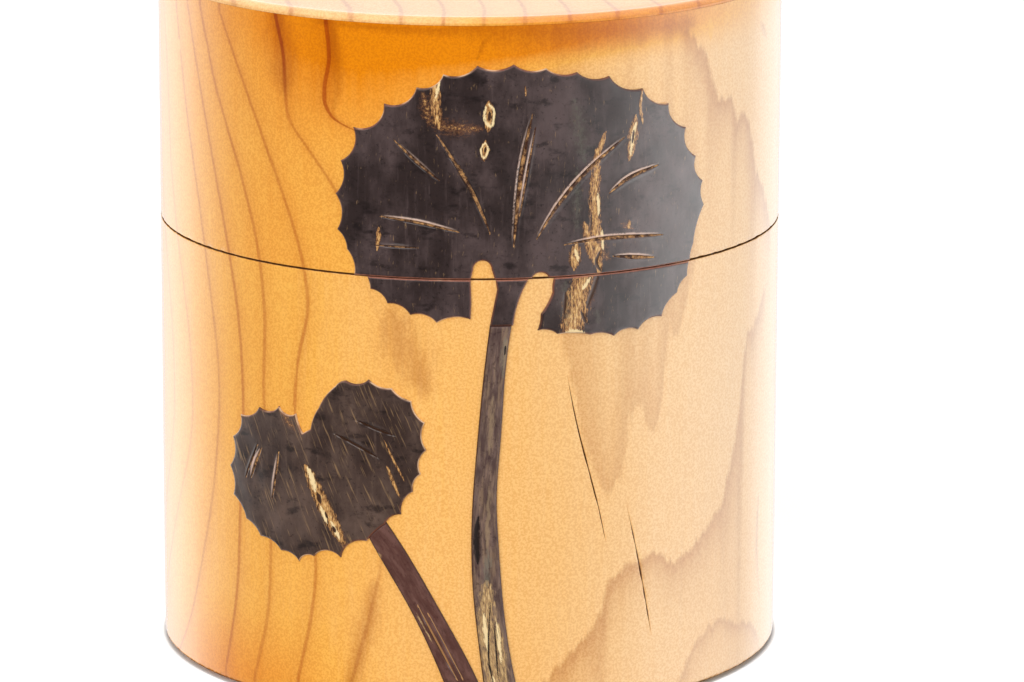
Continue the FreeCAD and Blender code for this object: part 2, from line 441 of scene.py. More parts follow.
def makeLacqueredWood(name):
    finish = Finish(name)
    inside = finish.inside()
    jag = finish.grain(inside, (1100, 1100, 130), 4, 0.65)
    # growth lines: a thin dark core, a soft halo on its far side and a slow darkening before it
    number = finish.value("growth")
    fine = finish.grain(inside, (500, 500, 60), 2, 0.5)
    offset = ((number + 0.5).math("FRACT") - 0.5) * finish.value("growthGap") + (fine - 0.5) * 0.35
    core = 1 - offset.size().soft(0.06, 0.52)
    halo = (offset > 0) * (offset * 0.9).decay() * 0.34
    rise = (offset < 0) * (offset * -0.6).decay() * 0.20
    shows = finish.value("growthShows") * (0.75 + fine * 0.5)
    lines = ((core * 0.72).top(halo).top(rise) * shows).held()
    # dark edges that fade to one side, with a toothed line that runs out at its ends
    around = finish.part(finish.place(), 0)
    dark = None
    for key, flame in flames.items():
        into = finish.value(key) + (jag - 0.5) * 3.0
        first, last = flame["edge"][0][0], flame["edge"][-1][0]
        ends = around.soft(first - 1, first + 1.5) * (1 - around.soft(last - 1.5, last + 1))
        tone = into.soft(-0.2, 0.8) * (into.top(0) / flame["reach"]).decay() * ends * flame["strength"]
        dark = tone if dark is None else dark.top(tone)
    speckle = finish.noise(inside, 3600.0, 2, 0.6)
    pores = finish.grain(inside, (1500, 1500, 90), 3, 0.6)
    cloud = finish.grain(inside, (60, 60, 22), 4, 0.6)
    tone = finish.value("honey") + (cloud - 0.5) * 0.10 + (pores - 0.5) * 0.13
    base = finish.ramp(tone, [(0.0, wood["pale"]), (0.38, wood["straw"]), (0.55, wood["honey"]),
                              (0.95, wood["amber"])])
    base = finish.over(base, lines, wood["line"], "MULTIPLY")
    base = finish.over(base, dark, wood["flame"], "MULTIPLY")
    grit = (1 - speckle.soft(0.40, 0.60)) * 0.52
    base = finish.over(base, grit, (0.80, 0.62, 0.45), "MULTIPLY")
    worm = finish.noise(inside, 900.0, 2, 0.5, 1.2)
    base = finish.over(base, worm.soft(0.60, 0.72) * 0.05, (0.85, 0.62, 0.42), "MULTIPLY")
    ragged = finish.grain(inside, (700, 700, 150), 5, 0.72)
    stain = finish.value("stain") + (ragged - 0.5) * 2.2
    base = finish.over(base, stain.soft(-0.5, 1.4) * 0.62, (0.56, 0.40, 0.33), "MULTIPLY")
    fleck = finish.value("fleck") + (ragged - 0.5) * 1.6
    base = finish.over(base, fleck.soft(0.1, 0.6) * 0.6, (0.90, 0.47, 0.09))
    # dark brown along the seam edges; along the foot it is partly a painted contact shadow
    seam = finish.value("seam") + (finish.noise(inside, 1500.0, 3, 0.6) - 0.5) * 0.5
    base = finish.over(base, seam.soft(0.25, 0.75), wood["seam"])
    # dark along the cracks: partly the split's own dark, partly painted shade inside it
    base = finish.over(base, finish.value("crack").soft(0.15, 0.6), wood["crack"])
    peel = finish.noise(inside, 420.0, 2, 0.5)
    height = peel * 0.6 + pores * 0.25 - lines * 0.5
    return finish.close({"Base Color": base, "Roughness": 0.5, "Normal": finish.bump(height, wood["peel"]),
                         "Coat Weight": 1 - seam.soft(0.2, 0.5), "Coat Roughness": wood["coatRoughness"],
                         "Coat IOR": 1.5, "Specular IOR Level": 0.0})


def wallColumns(cracked):
    # way round in mm at even steps, finer in front, with close columns each side of a crack's own column
    half = math.pi * outerRadius / mm
    front = np.arange(-62, 62, 0.4)
    sides = np.arange(62, half - 0.4, 0.8)
    columns = np.concatenate([front, sides, -sides[1:], [half]])
    if cracked:
        close = np.array([0, 0.025, 0.05, 0.08, 0.12, 0.17, 0.25])
        for crack in cracks:
            columns = columns[np.abs(columns - crack["column"]) > 0.3]
            columns = np.concatenate([columns, crack["column"] + close, crack["column"] - close[1:]])
    columns = np.unique(columns)
    return columns[columns > -half]


def bendColumns(columns, height, cracked):
    # the crack columns follow the cracks, and those between are shared out evenly
    if not cracked:
        return np.broadcast_to(columns[None, :], (len(height), len(columns)))
    fixed = [4.0, 33.0]
    knots = np.array([fixed[0], cracks[0]["column"], cracks[1]["column"], fixed[1]])
    moved = np.stack([np.full(len(height), fixed[0]), smoothThrough(cracks[0]["line"], height),
                      smoothThrough(cracks[1]["line"], height), np.full(len(height), fixed[1])], 1)
    out = np.repeat(columns[None, :], len(height), 0)
    inside = (columns > fixed[0]) & (columns < fixed[1])
    span = np.clip(np.searchsorted(knots, columns[inside]) - 1, 0, 2)
    share = (columns[inside] - knots[span]) / (knots[span + 1] - knots[span])
    out[:, inside] = moved[:, span] * (1 - share) + moved[:, span + 1] * share
    return out


def crackFields(columns, around, height):
    # depth of each crack in mm: a V across its column, tapering to both ends of its line
    depth, mark = np.zeros(around.shape), np.zeros(around.shape)
    for crack in cracks:
        low, high = min(crack["line"])[0], max(crack["line"])[0]
        along = np.clip((height - low) / (high - low), 0, 1)
        taper = np.sin(math.pi * along ** 0.9) ** 0.6
        ragged = 0.85 + 0.22 * waves(height * 0, height, seedOf["wall"] + 5, 2.2)
        width = np.clip(crack["width"] * taper * ragged, 0.02, 1)
        near = np.clip(1 - np.abs(columns - crack["column"]) / width, 0, 1) * (taper > 0.02)
        depth = np.maximum(depth, near * 0.35 * taper)
        mark = np.maximum(mark, near * np.clip(taper * 1.3, 0, 1))
    return depth, mark


# brown strokes and pale flecks in the wood: (path, half width, taper)
stains = [([(-9.4, 51.6), (-8.0, 47.4), (-5.4, 42.4)], 3.4, 0.3), ([(22.2, 87.6), (22.6, 84.9)], 1.7, 0.3),
          ([(-2.0, 88.2), (8.0, 87.4), (17.0, 86.9), (30.0, 86.3)], 2.5, 0.25),
          ([(-11.6, 16.6), (-13.2, 9.6), (-15.2, 2.2)], 1.5, 0.2),
          ([(-20.0, 87.7), (-4.0, 87.4), (12.0, 87.3)], 0.7, 0.3),
          ([(13.2, 87.4), (14.2, 85.4), (15.6, 84.6)], 0.5, 0.4),
          ([(15.0, 87.2), (16.4, 86.0), (17.6, 85.6)], 0.5, 0.4),
          ([(5.0, 87.5), (2.4, 86.6), (1.2, 84.0)], 0.35, 0.3), ([(-12.0, 87.5), (-9.0, 87.4)], 0.4, 0.3),
          ([(-25.2, 88.4), (-24.6, 84), (-24.2, 79)], 2.3, 0.2),
          ([(-17.0, 88), (-16.6, 82), (-16.9, 77)], 1.2, 0.4),
          ([(46.5, 84.0), (49.0, 81.5)], 0.7, 0.4), ([(48.0, 22.0), (47.5, 15.0), (49.0, 7.5)], 0.6, 0.4),
          ([(-37.2, 47.8), (-36.8, 46.2)], 0.25, 0.4)]
flecks = [([(-51.5, 83.6), (-51.1, 81.0)], 0.7, 0.4), ([(-46.2, 82.0), (-45.8, 80.0)], 0.6, 0.4),
          ([(-23.8, 54.3), (-23.0, 53.2)], 0.7, 0.4), ([(-38.2, 62.0), (-37.8, 58.0)], 0.35, 0.6),
          ([(-42.2, 50.0), (-41.8, 46.0)], 0.35, 0.6), ([(33.9, 87.0), (34.1, 83.4)], 0.5, 0.6),
          ([(-34.2, 17.0), (-34.0, 11.0)], 0.3, 0.6), ([(-36.6, 30.0), (-36.2, 24.0)], 0.3, 0.6)]


def wallPiece(name, body, corners, material, edges, cracked=False):
    # the profile's outer run carries growth lines, cracks and the chipped seam edge
    chain = divideChain(filletChain(corners, True),
                        lambda a, b: 0.5 * mm if min(a[0], b[0]) > outerRadius - 1e-6 else 3 * mm, True)
    radius, height = chain[:, 0], chain[:, 1]
    columns = wallColumns(cracked)
    around = bendColumns(columns, height / mm, cracked)
    tall = np.broadcast_to((height / mm)[:, None], around.shape)
    outside = np.broadcast_to((radius > outerRadius - 0.9 * mm)[:, None], around.shape)
    number, spacing, shows = woodFields(around, tall)
    values = {"growth": number, "growthGap": spacing, "growthShows": shows * outside,
              "honey": honeyField(around, tall), "stain": patchField(around.ravel(), tall.ravel(), stains),
              "fleck": patchField(around.ravel(), tall.ravel(), flecks)}
    values.update(flameFields(around, tall))
    depth, mark = crackFields(columns[None, :], around, tall) if cracked else (np.zeros(around.shape),) * 2
    # chips: a rough line of short dips within 0.2 mm of each seam edge
    chips = np.clip(waves(around, around * 0, seedOf["seam"] + len(name), 2.4, 1, 14) - 0.4, 0, 1) * 0.16
    seam = np.zeros(around.shape)
    for edge in edges:
        gap = np.abs(tall - edge / mm)
        depth = depth + chips * np.exp(-gap / 0.16) * outside
        # the seam value darkens a band at each seam edge; the wider band along the foot is the burnt edge
        # together with a painted contact shadow
        seam = np.maximum(seam, np.exp(-gap / (0.09 if edge > wallLow.z else 0.40)))
    seam = seam * smoothStep(radius / mm, outerRadius / mm - 0.6, outerRadius / mm - 0.1)[:, None]
    values["crack"], values["seam"] = mark, seam
    points = wallPoints(around / (outerRadius / mm), radius[:, None] - depth * outside * mm, tall * mm)
    rows, count = around.shape
    half = math.pi * outerRadius / mm

    def placeOf(corner):
        # the last column's faces run past the back line, so their first column counts on from there
        column = corner % count
        wraps = (column.reshape(-1, 4).max(1) == count - 1) & (column.reshape(-1, 4).min(1) == 0)
        flat = np.stack([around.ravel()[corner], tall.ravel()[corner]], 1)
        flat[:, 0] += np.repeat(wraps, 4) * (column == 0) * 2 * half
        return flat

    values = {key: np.ravel(value) for key, value in values.items()}
    return makePiece(name + "_wood", points.reshape(-1, 3), ringGrid(rows, count, True), body, name,
                     material, values, placeOf)


def topBoardPiece(name, material, rounding):
    # a disc: the growth lines run straight across the flat, and the rim is as amber as the wall below it,
    # except on the left, where it is made pale as a painted reflection of the left light
    corners = [(0, boardLow.z, 0), (outerRadius, boardLow.z, 0.05 * mm), (outerRadius, boardHigh.z, rounding),
               (0, boardHigh.z, 0)]
    chain = divideChain(filletChain(corners, False, 9), lambda a, b: 0.5 * mm, False)[1:-1]
    columns = 420
    angle = np.linspace(-math.pi, math.pi, columns, endpoint=False)
    radius = np.broadcast_to(chain[:, 0][:, None], (len(chain), columns))
    tall = np.broadcast_to(chain[:, 1][:, None], (len(chain), columns))
    points = wallPoints(angle[None, :], radius, tall).reshape(-1, 3)
    faces = ringGrid(len(chain), columns, False)
    points, faces = closeEnds(points, faces, len(chain), columns, boardLow.z, boardHigh.z)
    x, y = points[:, 0] / mm, points[:, 1] / mm
    gap = 5.4                     # mm between growth lines
    sway = 2.4 * np.sin(y / 17 + 0.4) + 0.9 * waves(x, y, seedOf["wall"] + 9, 45)
    number = (x * 0.95 + y * 0.12 + sway) / gap
    around = np.arctan2(x, -y) * outerRadius / mm
    rimward = smoothStep(np.hypot(x, y), outerRadius / mm - 3.5, outerRadius / mm)
    zero = np.zeros(len(points))
    # on the left the rim is paler: a painted reflection
    amber = 0.58 * smoothStep(around, -12, 14) * smoothStep(-around, -105, -55) - 0.16
    values = {"growth": number, "growthGap": zero + gap, "growthShows": zero + 0.8,
              "honey": 0.42 + amber * rimward, "stain": zero + noPatch, "fleck": zero + noPatch,
              "crack": zero, "seam": 0.62 * np.exp(-np.abs(points[:, 2] - boardLow.z) / mm / 0.06)}
    values.update({key: zero - farOff for key in flames})
    return makePiece(name + "_wood", points, faces, "lid", name, material, values)


def outlineOf(nodeName):
    # the border of the node's outer face as (way round, height) in mm, one loop, anticlockwise from outside
    mesh = nodes[nodeName].data
    mesh.calc_loop_triangles()
    co = np.zeros(len(mesh.vertices) * 3)
    mesh.vertices.foreach_get("co", co)
    co = co.reshape(-1, 3)
    triangle = np.zeros(len(mesh.loop_triangles) * 3, np.int32)
    mesh.loop_triangles.foreach_get("vertices", triangle)
    triangle = triangle.reshape(-1, 3)
    merged, index = np.unique(np.round(co / 1e-6).astype(np.int64), axis=0, return_inverse=True)
    triangle = index.ravel()[triangle]
    onFace = np.hypot(merged[:, 0], merged[:, 1]) * 1e-6 > barkRadius - 0.02 * mm
    outer = triangle[onFace[triangle].all(1)]
    edges = set()
    for a, b in ((0, 1), (1, 2), (2, 0)):
        edges |= set(zip(outer[:, a].tolist(), outer[:, b].tolist()))
    follow = {a: b for a, b in edges if (b, a) not in edges}
    first = min(follow)
    loop = [first]
    while follow[loop[-1]] != first:
        loop.append(follow[loop[-1]])
    x, y, z = (merged[loop] * 1e-6).T
    return np.stack([np.arctan2(x, -y) * outerRadius / mm, z / mm], 1)


def toOutline(points, loop):
    # distance to the closed outline, and whether the point is inside (an odd number of crossings)
    ends = np.roll(loop, -1, 0)
    run = ends - loop
    distance, inside = np.zeros(len(points)), np.zeros(len(points), bool)
    for first in range(0, len(points), 3000):
        a, b = points[first:first + 3000, 0][:, None], points[first:first + 3000, 1][:, None]
        da, db = a - loop[:, 0], b - loop[:, 1]
        t = np.clip((da * run[:, 0] + db * run[:, 1]) / (run ** 2).sum(1), 0, 1)
        distance[first:first + 3000] = np.sqrt(((da - t * run[:, 0]) ** 2 + (db - t * run[:, 1]) ** 2).min(1))
        spans = (loop[:, 1] > b) != (ends[:, 1] > b)
        lift = np.where(run[:, 1] == 0, 1e-12, run[:, 1])
        inside[first:first + 3000] = (spans & (a < loop[:, 0] + db / lift * run[:, 0])).sum(1) % 2 == 1
    return distance, inside


def hexGrid(loop, pitch):
    low, high = loop.min(0), loop.max(0)
    rise = pitch * math.sqrt(3) / 2
    a, b = np.meshgrid(np.arange(low[0], high[0], pitch), np.arange(low[1], high[1], rise))
    a = a + (np.arange(len(a)) % 2)[:, None] * pitch / 2
    return np.stack([a.ravel(), b.ravel()], 1)


def fillOutline(loop, points):
    # triangles over the loop and the points inside it
    every = np.concatenate([loop, points])
    count = len(loop)
    ring = [[i, (i + 1) % count] for i in range(count)]
    found = delaunay_2d_cdt([Vector(p) for p in every.tolist()], ring, [list(range(count))], 1, 1e-7)
    back = [source[0] for source in found[3]]
    return every, [[back[i] for i in face] for face in found[2]]


# how a bark piece is meshed, in mm: point rows along the border and beside each vein, the rounded border,
# the slow waves of the face, the lip beside a vein and the highest that anything stands
barkShape = {
    "edgePitch": 0.15, "insets": (0.05, 0.11, 0.19), "clear": 0.24, "drop": 0.13, "underPitch": 2.0,
    "veinRows": (-0.42, -0.29, -0.2, -0.11, 0, 0.11, 0.2, 0.29, 0.42), "veinClear": 0.47,
    "slow": 0.022, "slowLength": 5.5, "fine": 0.0025, "fineLength": 1.8, "lip": 0.07, "highest": 0.09,
}


def barkPiece(name, body, material, look):
    # outer face: radius = bark radius - rounded border - vein grooves + lips + slow waves; then a border wall
    # down to the wood, and a coarse underside
    shape = barkShape
    outline = outlineOf(name)
    loop = divideChain(outline, lambda p, q: shape["edgePitch"], True)
    tangent = np.roll(loop, -1, 0) - np.roll(loop, 1, 0)
    inward = np.stack([-tangent[:, 1], tangent[:, 0]], 1) / np.linalg.norm(tangent, axis=1)[:, None]
    # rows of points inside the border, an even grid, and rows along each vein, each with its least distance
    # to the border
    inset = np.concatenate([loop + inward * d for d in shape["insets"]])
    grid = hexGrid(loop, look["pitch"])
    alongVeins = []
    for vein in look["veins"]:
        path = densePath(vein["path"], 40)
        away = np.stack([-np.gradient(path[:, 1]), np.gradient(path[:, 0])], 1)
        away = away / np.linalg.norm(away, axis=1)[:, None]
        grid = grid[np.abs(alongPath(grid[:, 0], grid[:, 1], vein["path"])[0]) > shape["veinClear"]]
        alongVeins.append(np.concatenate([path + away * d for d in shape["veinRows"]]))
    inner = np.concatenate([inset, grid] + alongVeins)
    wanted = np.full(len(inner), shape["clear"])
    wanted[:len(inset)] = np.repeat(shape["insets"], len(loop)) * 0.93
    distance, inside = toOutline(inner, loop)
    inner = inner[inside & (distance >= wanted)]
    inner = inner[np.unique(np.round(inner / 0.03), axis=0, return_index=True)[1]]
    flat, faces = fillOutline(loop, inner)
    a, b = flat.T
    border = toOutline(flat, loop)[0]
    border[:len(loop)] = 0
    seed = look["seed"]
    lift = -shape["drop"] * (1 - np.clip(border / shape["clear"], 0, 1)) ** 2
    lift += shape["slow"] * waves(a, b, seed, shape["slowLength"]) * smoothStep(border, 0.1, 0.8)
    lift += shape["fine"] * waves(a, b, seed + 1, shape["fineLength"], 1.2) * smoothStep(border, 0.1, 0.5)
    veinIn, veinSide, lip = np.zeros(len(a)), np.zeros(len(a)), np.zeros(len(a))
    for vein in look["veins"]:
        gap, share = alongPath(a, b, vein["path"])
        taper = np.sin(math.pi * np.clip(share, 0, 1)) ** 0.55
        width = np.maximum(vein["width"] * taper, 0.03)
        close = np.clip(1 - np.abs(gap) / width, 0, 1)
        lift -= vein["depth"] * taper * close * (2 - close) * 0.9
        beside = taper * np.exp(-((np.abs(gap) - width - 0.10) / 0.15) ** 2)
        lift += shape["lip"] * beside
        # the lip is painted pale where it faces up or to the left: a painted highlight
        run = np.subtract(vein["path"][-1], vein["path"][0])
        upward = (-0.75 * run[0] - 0.45 * run[1]) / np.hypot(*run) * np.sign(gap)
        lip = np.maximum(lip, beside * np.clip(0.2 + upward, 0, 1) * vein["shows"])
        here = np.abs(gap) < 2 * width
        veinSide = np.where(here, np.clip(gap / width, -2, 2), veinSide)
        veinIn = np.maximum(veinIn, close * (taper > 0.05) * vein["shows"])
    scar = patchField(a, b, look["scars"])
    core = patchField(a, b, look["cores"])
    rough = 0.5 + 0.5 * waves(a, b, seed + 2, 0.9, 1.5)
    lift += 0.03 * np.clip(scar, 0, 1) * rough - 0.07 * np.clip(core, 0, 1)
    lift = np.minimum(lift, shape["highest"])
    lowHeight = seamHigh / mm if look["seam"] == "low" else seamLow / mm
    seamEdge = np.exp(-np.abs(b - lowHeight) / 0.2) * (border < 0.5) if look["seam"] else np.zeros(len(a))
    coarse = hexGrid(loop, shape["underPitch"])
    away, inside = toOutline(coarse, loop)
    under, underFaces = fillOutline(loop, coarse[inside & (away > 0.6)])
    turn = outerRadius / mm
    topPoints = wallPoints(a / turn, (barkRadius / mm + lift) * mm, b * mm)
    lowPoints = wallPoints(under[:, 0] / turn, np.full(len(under), outerRadius - 0.01 * mm), under[:, 1] * mm)
    start, count = len(flat), len(loop)
    faces = faces + [[start + i for i in reversed(face)] for face in underFaces]
    faces += [[start + i, start + (i + 1) % count, (i + 1) % count, i] for i in range(count)]
    if look.get("line"):
        across, share = alongPath(a, b, look["line"])
        along = share * look["length"]
    else:
        across, along = a, b
    place = np.stack([np.concatenate([across, under[:, 0]]), np.concatenate([along, under[:, 1]])], 1)
    values = {"border": border, "veinIn": veinIn, "veinSide": veinSide, "lip": lip, "seamEdge": seamEdge}
    values = {key: np.concatenate([value, np.zeros(len(under))]) for key, value in values.items()}
    patches = {"scar": scar, "core": core, "cream": patchField(a, b, look["creams"]),
               "blotch": patchField(a, b, look["blotches"]), "moss": patchField(a, b, look["moss"])}
    for key, value in patches.items():
        values[key] = np.concatenate([value, np.full(len(under), noPatch)])
    return makePiece(name + "_bark", np.concatenate([topPoints, lowPoints]), faces, body, name,
                     material, values, lambda corner: place[corner], 40)


def patchField(a, b, patches):
    # 1 at a patch's line, 0 at its border and below 0 outside; a patch is a path with a half width,
    # and its width swells as sin(share)^taper along the path
    total = np.full(len(a), noPatch)
    for path, width, taper in patches:
        low, high = np.min(path, 0) - 10 * width, np.max(path, 0) + 10 * width
        near = (a > low[0]) & (a < high[0]) & (b > low[1]) & (b < high[1])
        gap, share = alongPath(a[near], b[near], path)
        half = np.maximum(width * np.sin(math.pi * np.clip(share, 0.02, 0.98)) ** taper, 0.05)
        total[near] = np.maximum(total[near], 1 - np.abs(gap) / half)
    return total


bark = {
    "ground": (0.027, 0.0165, 0.0155), "light": (0.092, 0.061, 0.059), "tan": (0.30, 0.18, 0.085),
    "gold": (0.60, 0.33, 0.11), "cream": (0.84, 0.64, 0.34), "core": (0.05, 0.022, 0.012),
    "blotch": (0.23, 0.090, 0.035), "moss": (0.10, 0.095, 0.068), "cut": (0.20, 0.065, 0.035),
    # edge: pale of worn bark at the border, also a painted highlight on the bevel
    "edge": (0.72, 0.50, 0.30),
    # lip: colour of the painted highlight on the vein lips
    "veinFloor": (0.40, 0.21, 0.09), "lip": (0.76, 0.53, 0.42), "coatRoughness": 0.13,
}


def makeBark(name, ground, light, tick, tickTurn, tickLength, tickLow, scarTone):
    finish = Finish(name)
    inside, place = finish.inside(), finish.place()
    cloud = finish.grain(inside, (190, 190, 120), 5, 0.62)
    fibre = finish.grain(inside, (1700, 1700, 170), 4, 0.6)
    grain = finish.noise(inside, 2300.0, 3, 0.65)
    base = finish.mix(cloud.soft(0.36, 0.72), rgb(ground), rgb(light))
    base = finish.over(base, fibre.soft(0.52, 0.78) * 0.55, light)
    hollow = finish.grain(inside, (330, 330, 620), 4, 0.6)
    base = finish.over(base, (1 - hollow.soft(0.30, 0.46)) * 0.75, (0.010, 0.006, 0.006))
    base = finish.over(base, (1 - grain.soft(0.28, 0.42)) * 0.6, (0.007, 0.005, 0.005))
    # short pale ticks that lean with the bark's fibre
    turned = finish.add("ShaderNodeVectorRotate", {"rotation_type": "Z_AXIS"},
                        {"Vector": place, "Angle": tickTurn})
    ticks = finish.grain(turned, (3.6, 1 / tickLength, 1), 3, 0.6)
    sparse = finish.grain(turned, (0.9, 0.25, 1), 2, 0.5)
    marks = ticks.soft(tickLow, tickLow + 0.1) * sparse.soft(0.42, 0.60)
    base = finish.over(base, marks * tick, bark["tan"])
    blotch = finish.value("blotch") + (finish.grain(place, (2.6, 3.4, 1), 6, 0.8) - 0.5) * 4.6
    base = finish.over(base, blotch.soft(0.2, 1.3) * 0.65, bark["blotch"])
    base = finish.over(base, (blotch - 0.9).soft(0.1, 0.5) * 0.8, bark["gold"])
    ragged = finish.grain(place, (2.2, 0.9, 1), 4, 0.7)
    scar = finish.value("scar") + (ragged - 0.5) * 1.5
    scarFibre = finish.grain(place, (4.5, 1.3, 1), 4, 0.7)
    depth = scar * 0.42 + (scarFibre - 0.5) * 2.4 + 0.04
    gold = finish.ramp(depth, [(0.02, bark["core"]), (0.20, scarTone), (0.52, bark["gold"]),
                               (0.95, bark["cream"])])
    scarMask = scar.soft(0.02, 0.20)
    base = finish.mix(scarMask, base, gold)
    cream = finish.value("cream") + (scarFibre - 0.5) * 2.6
    base = finish.over(base, cream.soft(0.0, 0.6), bark["cream"])
    moss = finish.value("moss") + (finish.grain(place, (2.6, 1.8, 1), 5, 0.75) - 0.5) * 3.6
    base = finish.over(base, moss.soft(0.3, 1.5) * 0.6, bark["moss"])
    base = finish.over(base, (finish.value("core") + (ragged - 0.5) * 0.9).soft(0.1, 0.4), bark["core"])
    # a vein shows cut fibre on one side of its groove and shade on the other
    veinIn, veinSide = finish.value("veinIn"), finish.value("veinSide")
    stripe = finish.grain(inside, (1400, 1400, 1400), 3, 0.7)
    floor = finish.mix(stripe.soft(0.40, 0.62), rgb((0.05, 0.02, 0.012)), rgb(bark["veinFloor"]))
    floor = finish.over(floor, stripe.soft(0.55, 0.68) * 0.8, bark["gold"])
    shade = veinSide.soft(0.30, 0.9)
    floor = finish.over(floor, shade, (0.012, 0.006, 0.005))
    base = finish.mix(veinIn.soft(0.05, 0.25), base, floor)
    # painted highlight on the vein lips that face up or to the left
    base = finish.over(base, (finish.value("lip") * (0.6 + grain * 0.6)).soft(0.15, 0.75) * 0.8, bark["lip"])
    border = finish.value("border")
    cut = (1 - border.soft(0.05, 0.24)) * (0.35 + 0.65 * cloud.soft(0.4, 0.6))
    base = finish.over(base, cut.held() * 0.8, bark["cut"])
    # pale patches on the rounded border: partly worn bark, partly a painted highlight on the bevel
    worn = (1 - border.soft(0.02, 0.14)) * finish.noise(inside, 160.0, 3, 0.6).soft(0.50, 0.60)
    base = finish.over(base, worn * 0.85, bark["edge"])
    seam = finish.value("seamEdge") * (0.4 + grain)
    base = finish.over(base, seam.soft(0.35, 0.8) * 0.85, (0.36, 0.13, 0.08))
    height = (cloud * 0.9 + hollow * 0.7 + fibre * 0.10 + grain * 0.12 + marks * 0.25
              + scarMask * scarFibre * 0.9)
    return finish.close({"Base Color": base, "Roughness": 0.42,
                         "Normal": finish.bump(height, 0.035 * mm, 0.5),
                         "Coat Weight": (1 - veinIn.soft(0.0, 0.15) * 0.85) * (0.25 + 0.75 * border.soft(0.05,
                                                                                                         0.3)),
                         "Coat Roughness": bark["coatRoughness"], "Coat IOR": 1.5, "Specular IOR Level": 0.1})


def vein(path, width=0.30, depth=0.22, shows=1.0):
    return {"path": path, "width": width, "depth": depth, "shows": shows}


largeLeaf = {
    "pitch": 0.21, "seed": seedOf["leaf"],
    "veins": [
        vein([(-9.1, 73.7), (-6.2, 71.0), (-3.4, 68.7)], 0.24),
        vein([(-3.8, 74.6), (0.0, 68.4), (1.6, 65), (2.8, 62)], 0.28),
        vein([(-10.9, 64.0), (-6.0, 63.4), (-0.9, 62.3)], 0.22),
        vein([(-11.6, 60.3), (-5.9, 60.2)], 0.14, 0.12, 0.4),
        vein([(7.9, 77.1), (6.6, 70.3), (5.6, 60.3)], 0.32, 0.26),
        vein([(8.3, 75.4), (7.4, 70.4), (6.3, 64.0)], 0.13, 0.1),
        vein([(20.0, 73.4), (15.0, 69.6), (11.3, 65.6), (8.4, 61.2)], 0.28),
        vein([(25.0, 69.3), (20.6, 68.1), (17.8, 66.4)], 0.26),
        vein([(25.9, 60.3), (17.5, 60.8), (11.9, 60.4)], 0.26),
        vein([(24.4, 57.6), (21.4, 58.0), (18.4, 58.4)], 0.26),
    ],
    "scars": [
        ([(-3.9, 81.6), (-3.9, 78.6), (-3.5, 75.4)], 0.75, 0.35),
        ([(2.6, 78.7), (2.6, 76.8), (2.5, 75.0)], 0.75, 0.5),
        ([(2.2, 73.8), (2.1, 72.6), (2.0, 71.3)], 0.6, 0.5),
        ([(21.5, 76.0), (21.1, 73.0), (20.6, 70.2)], 0.8, 0.7),
        ([(22.5, 79.2), (22.2, 76.8), (22.6, 74.6)], 0.28, 0.4),
        ([(17.4, 74.4), (16.4, 71.5), (16.2, 70)], 0.45, 0.6),
        ([(16.3, 72.0), (15.9, 66.0), (16.3, 60.2), (16.6, 56.4)], 0.85, 0.25),
        ([(14.6, 63.0), (15.4, 60.0), (16.0, 57.5)], 0.8, 0.5),
        ([(13.6, 60.4), (13.4, 59.0), (13.3, 57.2)], 0.9, 0.4),
        ([(-11.0, 62.8), (-11.0, 61.2), (-11.2, 59.6)], 0.32, 0.5),
        ([(20.7, 62.7), (20.7, 61.7)], 0.35, 0.3), ([(7.0, 80.6), (7.1, 79.2)], 0.16, 0.4),
    ],
    "creams": [([(2.6, 78.4), (3.2, 77.4), (2.9, 75.6), (2.1, 76.4), (2.2, 78.0)], 0.22, 0.1),
               ([(2.2, 73.6), (2.5, 72.6), (2.0, 71.6), (1.6, 72.6), (2.0, 73.5)], 0.16, 0.1),
               ([(21.6, 75.2), (21.0, 72.6), (20.8, 70.8)], 0.36, 0.5),
               ([(16.3, 66.8), (16.5, 63.6)], 0.26, 0.4),
               ([(16.9, 61.8), (17.1, 59.4)], 0.3, 0.3), ([(-3.4, 81.2), (-3.9, 79.0)], 0.28, 0.5),
               ([(13.4, 59.8), (13.8, 58.2)], 0.3, 0.4)],
    "cores": [([(2.7, 77.5), (2.6, 76.2)], 0.27, 0.5), ([(2.2, 73.1), (2.1, 72.2)], 0.2, 0.5),
              ([(21.3, 74.2), (21.0, 72.2)], 0.22, 0.6), ([(16.7, 59.3), (16.2, 57.8), (16.9, 56.6)], 0.3,
                                                          0.4),
              ([(15.6, 64.4), (15.4, 61.6)], 0.16, 0.5)],
    "blotches": [([(-5.2, 76.6), (-2.2, 75.4), (1.6, 75.3)], 1.5, 0.4),
                 ([(-5.4, 79.6), (-4.6, 76.0)], 1.2, 0.4),
                 ([(14.6, 62.6), (16.4, 59.8), (17.8, 58.2)], 1.7, 0.4),
                 ([(19.6, 62.4), (21.2, 61.6)], 0.7, 0.4)],
    "moss": [([(13.2, 78.4), (14.0, 74.0), (14.6, 70.6)], 2.0, 0.4),
             ([(13.6, 70.0), (13.6, 62.0)], 1.2, 0.5)],
    "seam": "low",
}
lobeLook = {
    "pitch": 0.2, "seed": seedOf["leaf"] + 7, "veins": [], "seam": "high",
    "scars": [([(14.6, 56.1), (13.6, 52.6), (13.2, 48.9)], 1.9, 0.12),
              ([(12.9, 51.4), (12.8, 49.0)], 1.5, 0.25)],
    "creams": [([(12.0, 49.0), (13.4, 49.2), (14.8, 48.8)], 0.5, 0.2),
               ([(15.4, 56.0), (14.4, 54.6)], 0.3, 0.3)],
    "cores": [([(16.4, 56.1), (15.4, 53.4), (15.0, 52.2)], 0.35, 0.3),
              ([(12.2, 54.4), (12.0, 51.4)], 0.3, 0.4),
              ([(14.2, 51.8), (14.9, 50.2)], 0.28, 0.4)],
    "blotches": [([(15.6, 56.0), (14.8, 52.0)], 1.3, 0.3)],
    "moss": [([(12.2, 55.6), (12.4, 50.4)], 1.9, 0.3), ([(16.3, 52.0), (16.6, 50.0)], 0.8, 0.4)],
}
